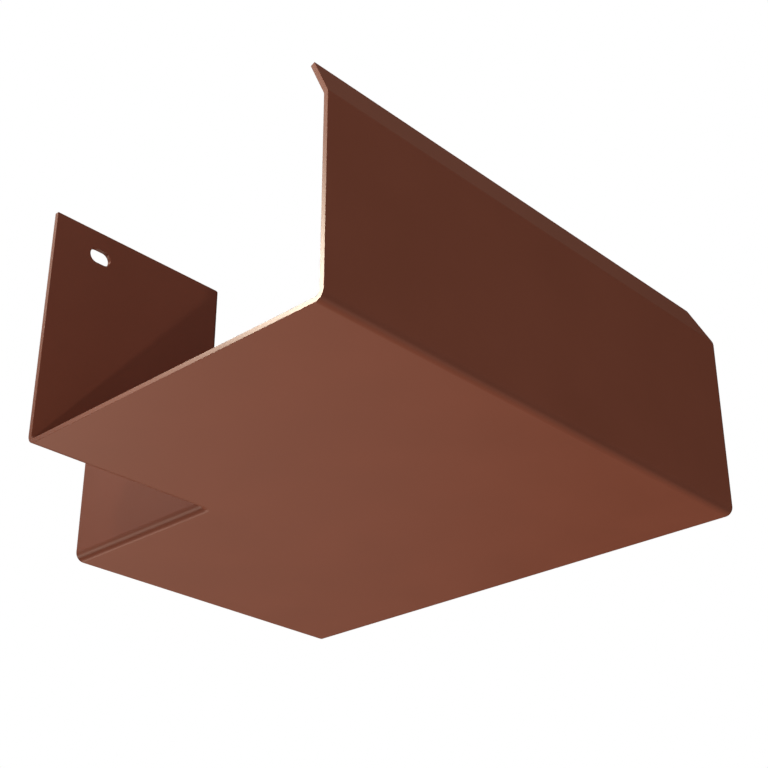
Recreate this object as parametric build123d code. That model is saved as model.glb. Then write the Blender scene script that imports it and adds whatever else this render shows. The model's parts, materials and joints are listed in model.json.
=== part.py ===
"""External corner of a box gutter: one folded and coated sheet, in millimetres, +Z up.

The origin is the building's corner at the level of the sole's underside. The building stands in the quadrant
of -X and +Y. One leg runs along -X with its front wall facing -Y, and the other is its mirror image in the
mitre plane and runs along +Y with its front wall facing +X.
"""

from build123d import *
from math import cos, radians, sin, tan
import os

# Driving dimensions
inside_width = 150.0  # clear width of the channel, from the back wall to the front wall
inside_depth = 100.0  # clear depth at the back wall, from the sole to the wall's top edge
sheet = 2.0  # thickness of the sheet
bend_radius = 2.0  # radius on the inner side of the bends along the legs
corner_radius = 0.5  # the same for the bend of the back walls, which hugs the building's corner
leg_length = 83.0  # from the building's corner to a leg's open end
front_height = 79.7  # from the sole's underside to the fold where the lip begins
lip_length = 17.0  # along the lip, from that fold to its cut edge
lip_lean = 24.0  # degrees that the lip leans inwards from the front wall
slot_length = 10.0  # fixing slot in each back wall, end to end
slot_width = 6.5
slot_from_end = 22.0  # from the leg's open end to the slot's middle
slot_from_top = 11.0  # from the back wall's top edge to the slot's middle
overrun = 10.0  # how far the working solids run past the finished edges

# Sizes that follow from them
width = inside_width + 2 * sheet
back_height = inside_depth + sheet
outer_radius = bend_radius + sheet
lean = radians(lip_lean)
tip_setback = width - lip_length * sin(lean)
tip_height = front_height + lip_length * cos(lean)

# The legs' section is drawn with the distance from the building across and the height upwards
section_plane = Plane(origin=(0, 0, 0), x_dir=(0, -1, 0), z_dir=(-1, 0, 0))
mitre_plane = Plane(origin=(0, 0, 0), z_dir=(1, 1, 0))


def mitred_legs(outline, leg_end):
    """Both legs of a section, each running from leg_end to the mitre."""
    section = section_plane * make_face(Polyline(*outline, close=True))
    leg = extrude(section, leg_end) + extrude(section, -width - overrun)
    leg = split(leg, bisect_by=mitre_plane, keep=Keep.BOTTOM)
    return leg + mirror(leg, about=mitre_plane)


def bend_core():
    """The sharp-edged space whose convex edges are the centre lines of the bends.

    The bend at the building's corner turns the other way, so its centre line lies on the building's side. The
    core is rounded there so far that growing it to the sheet's building side leaves the corner radius.
    """
    front = width - outer_radius
    fold_height = front_height - outer_radius * tan(lean / 2)
    top = max(back_height, tip_height) + overrun
    outline = [
        (outer_radius, outer_radius),
        (front, outer_radius),
        (front, fold_height),
        (front - (top - fold_height) * tan(lean), top),
        (outer_radius, top),
    ]
    core = mitred_legs(outline, leg_length + overrun)
    corner = Vector(outer_radius, -outer_radius, back_height / 2)
    corner_edge = core.edges().filter_by(Axis.Z).sort_by_distance(corner)[0]
    return fillet(corner_edge, outer_radius + corner_radius)


def finished_limits():
    """The space inside the cut edges: the open ends, the back walls' tops and the lips' square-cut tips."""
    outside = width + overrun
    middle = width / 2
    tip_slope = tan(lean)
    outline = [
        (-overrun, -overrun),
        (outside, -overrun),
        (outside, tip_height + (outside - tip_setback) * tip_slope),
        (middle, tip_height + (middle - tip_setback) * tip_slope),
        (middle, back_height),
        (-overrun, back_height),
    ]
    return mitred_legs(outline, leg_length)


def fixing_slots():
    """The tools that cut one level slot through each back wall."""
    middle = (slot_from_end - leg_length, 0, back_height - slot_from_top)
    wall_plane = Plane(origin=middle, x_dir=(1, 0, 0), z_dir=(0, -1, 0))
    slot = extrude(wall_plane * SlotOverall(slot_length, slot_width), 2 * sheet, both=True)
    return slot + mirror(slot, about=mitre_plane)


# Growing one core by the two radii gives the sheet's two faces, a sheet's thickness apart through every bend
core = bend_core()
outer_face = offset(core, amount=outer_radius, kind=Kind.ARC)
inner_face = offset(core, amount=bend_radius, kind=Kind.ARC)
gutter_corner = (outer_face - inner_face) & finished_limits()
gutter_corner -= fixing_slots()

os.makedirs("parts", exist_ok=True)
export_step(gutter_corner, "parts/gutter_corner.step")
print("volume", round(gutter_corner.volume), "box", gutter_corner.bounding_box())
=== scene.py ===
# %% [markdown]
# # The outside corner of a box gutter
# One coated sheet is folded into a square channel that turns round the corner of a building. This lesson
# dresses the measured part: it folds a finer sheet of the same size, gives it its coat and lights it as seen
# from below.

# %% Load the measured part
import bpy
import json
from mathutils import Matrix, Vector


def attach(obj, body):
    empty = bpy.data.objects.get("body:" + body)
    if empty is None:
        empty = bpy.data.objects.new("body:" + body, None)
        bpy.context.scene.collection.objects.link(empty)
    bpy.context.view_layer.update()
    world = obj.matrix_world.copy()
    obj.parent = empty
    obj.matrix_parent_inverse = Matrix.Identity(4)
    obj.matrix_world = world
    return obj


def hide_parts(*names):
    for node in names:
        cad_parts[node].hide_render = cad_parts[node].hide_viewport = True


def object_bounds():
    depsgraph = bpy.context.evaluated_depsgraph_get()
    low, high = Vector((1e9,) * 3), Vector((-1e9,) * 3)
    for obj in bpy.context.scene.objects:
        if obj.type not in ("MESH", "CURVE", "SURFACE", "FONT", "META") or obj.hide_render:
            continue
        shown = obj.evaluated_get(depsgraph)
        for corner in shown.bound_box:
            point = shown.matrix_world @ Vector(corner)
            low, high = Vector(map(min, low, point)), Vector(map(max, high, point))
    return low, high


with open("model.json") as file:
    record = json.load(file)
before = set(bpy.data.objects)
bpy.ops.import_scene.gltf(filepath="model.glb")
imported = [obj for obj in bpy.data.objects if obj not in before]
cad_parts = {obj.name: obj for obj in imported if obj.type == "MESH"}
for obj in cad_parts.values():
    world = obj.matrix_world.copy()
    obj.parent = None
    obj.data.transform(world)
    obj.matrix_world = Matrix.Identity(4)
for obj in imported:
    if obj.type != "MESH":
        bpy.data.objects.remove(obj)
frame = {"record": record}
cad_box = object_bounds()
print("measured box", [tuple(round(v, 4) for v in corner) for corner in cad_box])

# %% [markdown]
# ## Sizes
# What the measured part can tell is read from it: the length of the legs, the width, the back wall's height
# and the middle of the fixing slot. They could be typed in again, but then a change of the part would leave
# this sheet behind. The few sizes inside that outline are named here once, in metres.

# %% Read and name the sizes
import bpy
import bmesh
from math import cos, pi, radians, sin, tan
from mathutils import Vector

low, high = cad_box
leg_length = -low.x  # from the building's corner to a leg's open end
width = high.x  # from the building's face to the front wall's outer face
back_height = high.z
mounts = {mount["name"]: mount for mount in frame["record"]["mounts"]}
slot_x, _, slot_z = mounts["fixing_slot_x"]["pos_m"]
sheet = 0.002
bend_radius = 0.002  # on the inner side of the bends along the legs
corner_radius = 0.0005  # the same for the bend that hugs the building's corner
outer_radius = bend_radius + sheet
front_height = 0.0797  # up to the fold where the lip begins
lip_length = 0.0170
lip_lean = radians(24)
slot_length = 0.010
slot_width = 0.0065
print(f"leg {leg_length:.3f}, width {width:.3f}, back {back_height:.3f}, slot at {slot_x:.3f}, {slot_z:.3f}")

# %% [markdown]
# ## The outer face, row by row
# On the real part every fold is a small arc, and at the corner folds of different angles meet. A Bevel
# modifier could round the folds of a sharp box, but where such folds meet it only guesses a patch. So the
# sheet's outer face is drawn as rows of points. A row runs along one leg from its open end, round the corner,
# and along the other leg, which is the mirror image. Most rows are level, and their corner is an arc.

# %% Draw a level row
corner_segments = 6  # from a leg to the mitre
corner_turns = [step / corner_segments * pi / 4 for step in range(corner_segments + 1)]
slot_margin = 0.003  # flat border round a slot, inside its own cell of the grid
slot_columns = [slot_x - slot_length / 2 - slot_margin, slot_x + slot_length / 2 + slot_margin]
leg_columns = [-leg_length, *slot_columns]


def other_leg(point):
    """The same point on the other leg: its mirror image in the mitre plane."""
    return Vector((-point.y, -point.x, point.z))


def whole_row(half):
    """A row from its half, which ends at the mitre."""
    return half + [other_leg(point) for point in reversed(half[:-1])]


def level_row(centre, reach, height):
    """A row that lies reach from the building, with an arc round (centre, -centre) at the corner."""
    radius = reach - centre
    half = [Vector((x, -reach, height)) for x in leg_columns]
    half += [Vector((centre + radius * sin(a), -centre - radius * cos(a), height)) for a in corner_turns]
    return whole_row(half)


print("columns along a leg", [round(x, 4) for x in leg_columns])

# %% [markdown]
# The lip along the front wall's top leans into the channel, which stiffens the wall. At the corner its fold
# is a piece of a ball, and the two lips meet in a piece of a cylinder along their common edge. Both come from
# one rule: the direction that the face looks in turns from one leg to the other by equal steps. The lip's tip
# is cut square, and the dip brings the turned points onto that cut.

# %% Draw a leaning row
fold_setback = outer_radius * tan(lip_lean / 2)  # what the fold's arc takes off the wall and off the lip
fold_height = front_height - fold_setback
lip_climb = lip_length - fold_setback
along_lip = Vector((0, sin(lip_lean), cos(lip_lean)))
along_mitre = Vector((-sin(lip_lean), sin(lip_lean), cos(lip_lean)))


def leaning_row(centre, tilt, climb):
    """A row at the lip's fold or on the lip, where the face has tilted by tilt and climbed by climb."""
    facing = Vector((0, -cos(tilt), sin(tilt)))
    facing_other = Vector((cos(tilt), 0, sin(tilt)))
    fold_centre = Vector((centre, -centre, fold_height))
    on_leg = fold_centre + outer_radius * facing + climb * along_lip
    half = [Vector((x, on_leg.y, on_leg.z)) for x in leg_columns]
    for turn in corner_turns:
        normal = facing.slerp(facing_other, turn / (pi / 2))
        dip = climb / lip_climb * outer_radius * normal.dot(along_lip)
        half.append(fold_centre + outer_radius * normal + (climb - dip) * along_mitre)
    return whole_row(half)


print(f"the fold's arc begins at {fold_height:.4f}, and the lip runs on for {lip_climb:.4f}")

# %% [markdown]
# The whole face is then a list of rows, from the back wall's top edge down, under the sole and up the front
# wall to the lip's cut edge. At the back they turn round the building's corner with a small radius. At the
# front they turn round a line inside the channel. So the two families of rows have different centres.

# %% Stack the rows
bend_segments = 10  # over a right angle
fold_segments = 4  # over the lip's fold
quarter_turns = [step / bend_segments * pi / 2 for step in range(bend_segments + 1)]
slot_rows = [slot_z + slot_width / 2 + slot_margin, slot_z - slot_width / 2 - slot_margin]
back_centre = -corner_radius
front_centre = width - outer_radius

rows = [level_row(back_centre, 0, z) for z in [back_height, *slot_rows]]
for a in quarter_turns:
    rows.append(level_row(back_centre, outer_radius * (1 - cos(a)), outer_radius * (1 - sin(a))))
for a in quarter_turns:
    rows.append(level_row(front_centre, front_centre + outer_radius * sin(a), outer_radius * (1 - cos(a))))
for step in range(fold_segments + 1):
    rows.append(leaning_row(front_centre, lip_lean * step / fold_segments, 0))
rows.append(leaning_row(front_centre, lip_lean, lip_climb))
print(len(rows), "rows of", len(rows[0]), "points")

# %% [markdown]
# ## The sheet and its slots
# Neighbouring rows are joined by four-sided faces, as a loft would join them. The one cell of the grid that
# holds a slot is left open on each leg.

# %% Join the rows
slot_row = 1  # the grid row and column of the cell that holds a slot
slot_column = 1
slot_column_other = len(rows[0]) - 2 - slot_column  # the same cell on the other leg

face_mesh = bmesh.new()
grid = [[face_mesh.verts.new(point) for point in row] for row in rows]
for r in range(len(rows) - 1):
    for c in range(len(rows[0]) - 1):
        if r == slot_row and c in (slot_column, slot_column_other):
            continue
        face_mesh.faces.new((grid[r][c], grid[r][c + 1], grid[r + 1][c + 1], grid[r + 1][c]))
print(len(face_mesh.faces), "faces between the rows")

# %% [markdown]
# Each back wall has a slot with round ends, punched before the sheet is folded, so that its screw can be
# shifted a little. A Boolean could cut it, but would leave slivers where the edge rounding needs clean edges.
# Here the slot's outline is drawn into its open cell, and the face is filled round it.

# %% Fill the cells round the slots
slot_end_segments = 12


def slot_outline():
    """The slot's outline on the first leg's back wall, as a list of points."""
    radius = slot_width / 2
    straight = slot_length / 2 - radius
    points = []
    for side in (1, -1):
        for step in range(slot_end_segments + 1):
            angle = pi * step / slot_end_segments - pi / 2
            across = side * (straight + radius * cos(angle))
            points.append(Vector((slot_x + across, 0, slot_z + side * radius * sin(angle))))
    return points


def fill_round(outline, column, outward):
    """Adds the faces between a cell's corners and the slot in it, with their front looking outward."""
    above = grid[slot_row]
    below = grid[slot_row + 1]
    corners = [above[column], above[column + 1], below[column + 1], below[column]]
    rim = [face_mesh.verts.new(point) for point in outline]
    edges = []
    for loop in (corners, rim):
        for first, second in zip(loop, loop[1:] + loop[:1]):
            edges.append(face_mesh.edges.get((first, second)) or face_mesh.edges.new((first, second)))
    filled = bmesh.ops.triangle_fill(face_mesh, edges=edges, use_beauty=True, normal=outward)
    for face in filled["geom"]:
        if isinstance(face, bmesh.types.BMFace) and face.normal.dot(outward) < 0:
            face.normal_flip()


outline = slot_outline()
fill_round(outline, slot_column, Vector((0, 1, 0)))
fill_round([other_leg(point) for point in outline], slot_column_other, Vector((-1, 0, 0)))
print("slot outlines of", len(outline), "points,", len(face_mesh.faces), "faces in all")

# %% [markdown]
# The drawn face becomes one object, because the real corner is one sheet. Where the ball at the outer bottom
# corner touches the sole, a row's arc has no radius. Its points fall on each other there, so they are merged.
# All faces are shaded smooth.

# %% Make the face an object
merge_distance = 1e-6
drawn_points = len(face_mesh.verts)
bmesh.ops.remove_doubles(face_mesh, verts=face_mesh.verts, dist=merge_distance)
for face in face_mesh.faces:
    face.smooth = True
print("merged", drawn_points - len(face_mesh.verts), "points")
mesh = bpy.data.meshes.new("folded_sheet")
face_mesh.to_mesh(mesh)
face_mesh.free()
folded_sheet = bpy.data.objects.new("folded_sheet", mesh)
bpy.context.scene.collection.objects.link(folded_sheet)
print(len(mesh.vertices), "points and", len(mesh.polygons), "faces on the outer face")

# %% [markdown]
# ## Thickness and edges
# Solidify gives the drawn face the sheet's thickness on its inner side. It works square to the face, so the
# open ends, the lips' tips and the slots get square walls, as shears and punches leave them. The coat rounds
# such edges a little. A Bevel that takes only sharp edges does that, and weighted normals keep the panels
# flat.

# %% Thicken the sheet and round its cut edges
coat_edge_radius = 0.00012
coat_edge_segments = 3
sharp_from = radians(50)

thickness = folded_sheet.modifiers.new("thickness", "SOLIDIFY")
thickness.thickness = sheet
thickness.offset = -1
thickness.use_even_offset = True
thickness.use_quality_normals = True
coated_edges = folded_sheet.modifiers.new("coated_edges", "BEVEL")
coated_edges.width = coat_edge_radius
coated_edges.segments = coat_edge_segments
coated_edges.limit_method = "ANGLE"
coated_edges.angle_limit = sharp_from
flat_panels = folded_sheet.modifiers.new("flat_panels", "WEIGHTED_NORMAL")
flat_panels.keep_sharp = True

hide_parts("gutter_corner")
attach(folded_sheet, "root")
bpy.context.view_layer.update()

# %% [markdown]
# ## Writing a finish as a sum
# A finish is a small tree of shader nodes. Wiring each Math node by hand hides what is worked out, so this
# class wraps a node's output and lets Python's own operators add the nodes: `1 - mask` becomes a Math node
# set to subtract. Colours go through Mix instead, because a Math node would turn them grey.

# %% A socket that can be added and multiplied


class Wire:
    """An output of a shader node, for use in Python expressions that add further nodes to its tree."""

    def __init__(self, tree, socket=None):
        self.tree = tree
        self.socket = socket

    def node(self, kind, settings, sockets, output=0):
        """Adds a node of this kind with these settings and these values or wires in its sockets."""
        made = self.tree.nodes.new(kind)
        for name, value in settings.items():
            setattr(made, name, value)
        for name, value in sockets.items():
            if isinstance(value, Wire):
                value.feed(made, name)
            else:
                made.inputs[name].default_value = value
        return Wire(self.tree, made.outputs[output])

    def feed(self, node, name):
        """Links this output to a node's input."""
        self.tree.links.new(self.socket, node.inputs[name])

    def maths(self, operation, first, second):
        """A Math node's result from two values or wires."""
        return self.node("ShaderNodeMath", {"operation": operation}, {0: first, 1: second})

    def between(self, first, second):
        """The colour that lies between two others, by this value from 0 to 1."""
        sockets = {0: self, 6: first, 7: second}  # a Mix node's factor and its two colours
        return self.node("ShaderNodeMix", {"data_type": "RGBA"}, sockets, output=2)

    def ramp(self, start, end):
        """0 below start and 1 above end, with a soft change between them."""
        sockets = {"Value": self, "From Min": start, "From Max": end}
        return self.node("ShaderNodeMapRange", {"interpolation_type": "SMOOTHSTEP"}, sockets)

    def __add__(self, other):
        return self.maths("ADD", self, other)

    def __radd__(self, other):
        return self.maths("ADD", other, self)

    def __sub__(self, other):
        return self.maths("SUBTRACT", self, other)

    def __rsub__(self, other):
        return self.maths("SUBTRACT", other, self)

    def __mul__(self, other):
        return self.maths("MULTIPLY", self, other)

    def __rmul__(self, other):
        return self.maths("MULTIPLY", other, self)


print("reflected operators:", [name for name in vars(Wire) if name.startswith("__r")])

# %% [markdown]
# ## The powder coat
# The sheet is sprayed with dry powder and baked. The powder melts into a satin skin that is even in colour
# and very slightly wavy, which painters call orange peel. A photographed texture would need the sheet
# unwrapped, and would blur from close by. Three noises in the object's own space run over every bend without
# a seam: a wide one shifts colour and gloss a little, a middle one is the peel, and a fine one is the
# powder's grain.

# %% Mix the powder coat
cloud_scale = 24  # noise cells in a metre, so a cloud is about 40 mm wide
peel_scale = 420  # about 2.4 mm
grain_scale = 2200  # about 0.5 mm
cloud_detail = 3  # how many finer layers a noise adds to itself
peel_detail = 1
grain_detail = 2
coat_deep = (0.187, 0.0527, 0.0277, 1)
coat_light = (0.203, 0.0573, 0.0303, 1)
cloud_share = 0.6  # of the unevenness in colour, and the grain has the rest
tone_deep = 0.3  # noise up to here has the deep colour
tone_light = 0.7  # and from here the light one
satin_roughness = 0.29  # where the skin is at its glossiest
cloud_roughness = 0.05  # what the clouds add to it at most
grain_roughness = 0.03
peel_depth = 0.000003
grain_depth = 0.2  # as a share of the peel's


def powder_coat():
    """The red-brown satin coat, with orange peel in its skin and slight unevenness in colour and gloss."""
    material = bpy.data.materials.new("red_brown_powder_coat")
    material.use_nodes = True
    shader = material.node_tree.nodes["Principled BSDF"]
    wire = Wire(material.node_tree)
    place = wire.node("ShaderNodeTexCoord", {}, {}, output="Object")

    def noise(scale, detail):
        return wire.node("ShaderNodeTexNoise", {}, {"Vector": place, "Scale": scale, "Detail": detail})

    cloud = noise(cloud_scale, cloud_detail)
    peel = noise(peel_scale, peel_detail)
    grain = noise(grain_scale, grain_detail)
    tone = cloud_share * cloud + (1 - cloud_share) * grain
    tone.ramp(tone_deep, tone_light).between(coat_deep, coat_light).feed(shader, "Base Color")
    roughness = satin_roughness + cloud_roughness * cloud + grain_roughness * grain
    roughness.feed(shader, "Roughness")
    height = peel + grain_depth * grain
    skin = wire.node("ShaderNodeBump", {}, {"Height": height, "Distance": peel_depth, "Strength": 1})
    skin.feed(shader, "Normal")
    return material


folded_sheet.data.materials.append(powder_coat())
print("finish:", folded_sheet.data.materials[0].name)

# %% [markdown]
# ## The floor
# Off the building the part stands on its flat sole, here on a pale floor that takes its shadow. A plain floor
# would hide the part from a camera below it. This one is clear from its underside and fades out towards its
# rim, and it is left out of the light that reaches the part, so that nothing shades the sole.

# %% Lay the floor
middle = (low + high) / 2
floor_radius = 1.4
floor_segments = 96
floor_drop = 0.0005  # below the sole
floor_colour = (0.9, 0.9, 0.9, 1)
fade_begins = 0.35 * floor_radius
fade_ends = 0.95 * floor_radius


def pale_floor():
    """A pale material that is clear from below and fades out towards the floor's rim."""
    material = bpy.data.materials.new("pale_floor")
    material.use_nodes = True
    wire = Wire(material.node_tree)
    place = wire.node("ShaderNodeTexCoord", {}, {}, output="Object")
    from_middle = wire.node("ShaderNodeVectorMath", {"operation": "LENGTH"}, {0: place}, output="Value")
    below = wire.node("ShaderNodeNewGeometry", {}, {}, output="Backfacing")
    clear = wire.maths("MAXIMUM", below, from_middle.ramp(fade_begins, fade_ends))
    pale = wire.node("ShaderNodeBsdfDiffuse", {}, {"Color": floor_colour})
    gone = wire.node("ShaderNodeBsdfTransparent", {}, {})
    seen = wire.node("ShaderNodeMixShader", {}, {0: clear, 1: pale, 2: gone})
    seen.feed(material.node_tree.nodes["Material Output"], "Surface")
    return material


disc = bmesh.new()
bmesh.ops.create_circle(disc, cap_ends=True, radius=floor_radius, segments=floor_segments)
floor_mesh = bpy.data.meshes.new("floor")
disc.to_mesh(floor_mesh)
disc.free()
floor = bpy.data.objects.new("floor", floor_mesh)
floor.location = (middle.x, middle.y, -floor_drop)
floor.data.materials.append(pale_floor())
bpy.context.scene.collection.objects.link(floor)
floor.visible_diffuse = False
floor.visible_glossy = False
floor.visible_transmission = False
floor.visible_shadow = False
print("floor of", floor_radius, "m radius, normal", tuple(floor.data.polygons[0].normal))

# %% [markdown]
# ## The studio round it
# The camera sees a plain white studio. What lights the coat is kept apart from that white: an even grey gives
# the light that comes from everywhere, and a few soft round boards stand where the satin skin mirrors them.
# They could be lit planes, but then they would also light the part. As spots in the backdrop they only draw
# the light lines along the bends, and the dark between them draws the stripe beside each line.

# %% Set the backdrop
ambient = 0.43  # the even light from everywhere
white = (1, 1, 1, 1)
board_tint = (1, 0.79, 0.64, 1)  # the boards are a little warm
boards = {  # direction, degrees from its middle where a board begins to fade and is gone, and brightness
    "behind_left": ((-0.60, 0.70, 0.35), 23, 48.7, 0.14),
    "left": ((-0.66, 0.74, 0.04), 5.7, 17.3, 0.18),
    "low_left": ((-0.52, 0.75, -0.41), 4.4, 15.8, 2.7),
    "below_behind": ((0.35, 0.75, -0.55), 8.1, 28.4, 0.14),
    "sole_glow": ((0.60, 0.64, -0.48), 1.8, 12, 0.34),
    "above": ((0.45, 0.12, 0.88), 8.1, 31.8, 0.09),
    "low_right": ((0.38, 0.75, -0.54), 2.6, 10.3, 2.1),
    "below_front": ((0.45, -0.38, -0.80), 7.3, 20, 0.45),
    "above_left": ((-0.42, 0.68, 0.62), 3.6, 13.6, 2.8),
}

world = bpy.data.worlds.new("studio")
bpy.context.scene.world = world
world.use_nodes = True
wire = Wire(world.node_tree)
toward = wire.node("ShaderNodeTexCoord", {}, {}, output="Generated")
boards_seen = 0
for direction, fade, gone, brightness in boards.values():
    sockets = {0: toward, 1: Vector(direction).normalized()}
    facing = wire.node("ShaderNodeVectorMath", {"operation": "DOT_PRODUCT"}, sockets, output="Value")
    boards_seen = boards_seen + brightness * facing.ramp(cos(radians(gone)), cos(radians(fade)))
print("boards:", list(boards))

# %% [markdown]
# Light Path tells which kind of ray asks for the backdrop. Rays from the camera, and rays through clear
# things, get the white. Rays mirrored by the skin get the boards. All others get the even grey.

# %% Give each kind of ray its backdrop
camera_ray = wire.node("ShaderNodeLightPath", {}, {}, output="Is Camera Ray")
clear_ray = wire.node("ShaderNodeLightPath", {}, {}, output="Is Transmission Ray")
mirrored = wire.node("ShaderNodeLightPath", {}, {}, output="Is Glossy Ray")
plain = camera_ray + clear_ray
level = plain + mirrored * boards_seen + (1 - plain - mirrored) * ambient
background = world.node_tree.nodes["Background"]
level.feed(background, "Strength")
mirrored.between(white, board_tint).feed(background, "Color")
print("even light", ambient, "and white to the camera")

# %% [markdown]
# ## The lamps
# Outdoors each side of a gutter has its own brightness, and that is what shows its form. Soft boxes do the
# same here: from behind on the left for the building's side, from below for the sole, from overhead for the
# floor and the inside, and two weak ones for the front. The low front box is small, so it draws the slanting
# shadow inside the open leg. A lamp's power says little about how bright a face gets, so the helper works it
# out from a level: at level 1, a face square to the lamp renders as its colour is written. The boards already
# stand for the boxes in the skin, so the boxes themselves are not mirrored.

# %% Hang the soft boxes
softboxes = {  # direction, distance, size and level
    "low_front": ((-1, -1.87, -1.165), 6, 0.12, 0.125),
    "side_fill": ((-1, -0.66, 1.0), 6, 0.24, 0.165),
    "behind_left": ((-0.60, 0.70, 0.35), 2.5, 1.2, 0.56),
    "below_behind": ((0.50, 0.54, -0.64), 6, 1.0, 0.855),
    "overhead": ((0, 0.33, 0.94), 1.6, 1.3, 0.70),
}


def hang(light, place, target):
    """Puts a lamp at a place and turns it towards a target."""
    lamp = bpy.data.objects.new(light.name, light)
    lamp.location = place
    lamp.rotation_euler = (place - target).to_track_quat("Z", "Y").to_euler()
    lamp.visible_camera = False
    bpy.context.scene.collection.objects.link(lamp)
    return lamp


def softbox(name, direction, distance, size, level):
    """A square lamp that lights a face square to it as brightly as its colour says, times level."""
    light = bpy.data.lights.new(name, "AREA")
    light.size = size
    light.energy = level * pi ** 2 * distance ** 2
    lamp = hang(light, middle + distance * Vector(direction).normalized(), middle)
    lamp.visible_glossy = False
    return lamp


boxes = [softbox(name, *settings) for name, settings in softboxes.items()]
print("soft boxes:", {lamp.name: round(lamp.data.energy, 1) for lamp in boxes}, "watts")

# %% [markdown]
# The cut edge of the open end catches a warm light close by and shines almost white at its lower corner. The
# edge could be given a paler colour, but it has the same coat as the rest. A small spotlight near that corner
# does it as light, and its beam fades out along the edge by itself. Its power counts as if it shone all
# round, which is four times as much as a box needs for the same level.

# %% Light the cut edge
spot_direction = Vector((-0.594, 0.616, 0.514)).normalized()
spot_distance = 0.5
spot_level = 0.45
spot_tint = (1, 0.92, 0.74)
spot_beam = radians(34)
spot_soft_edge = 0.8  # the share of the beam over which it fades out
spot_radius = 0.02
near_corner = Vector((-leg_length, -width + sheet, sheet))

edge_light = bpy.data.lights.new("edge_spot", "SPOT")
edge_light.energy = spot_level * 4 * pi ** 2 * spot_distance ** 2
edge_light.color = spot_tint
edge_light.spot_size = spot_beam
edge_light.spot_blend = spot_soft_edge
edge_light.shadow_soft_size = spot_radius
edge_spot = hang(edge_light, near_corner + spot_distance * spot_direction, near_corner)
print("edge spot at", tuple(round(v, 3) for v in edge_spot.location))

# %% [markdown]
# ## The camera
# The part is seen as from the ground, from below and in front of one leg's open end, so that the sole, a
# front wall and both back walls show. Wide lenses would bend these proportions, so it is a longer one from
# well over half a metre away. Its place was found by lining the sheet's corners up with those in the
# photograph.

# %% Place the camera
focal_length = 70  # in millimetres
nearest_seen = 0.01
camera_place = Vector((-0.35527, -0.43409, -0.23346))
aim = Vector((0.04969, -0.05487, 0.05652))

lens = bpy.data.cameras.new("camera")
lens.lens = focal_length
lens.clip_start = nearest_seen
camera = bpy.data.objects.new("camera", lens)
camera.location = camera_place
camera.rotation_euler = (aim - camera_place).to_track_quat("-Z", "Y").to_euler()
bpy.context.scene.collection.objects.link(camera)
bpy.context.scene.camera = camera
bpy.context.scene.view_settings.view_transform = "Standard"
print(f"camera {(aim - camera_place).length:.3f} m from its aim")

# %% [markdown]
# ## The dressed sheet's box
# The dressed sheet has to fill the same box as the measured part.

# %% Finish
import json
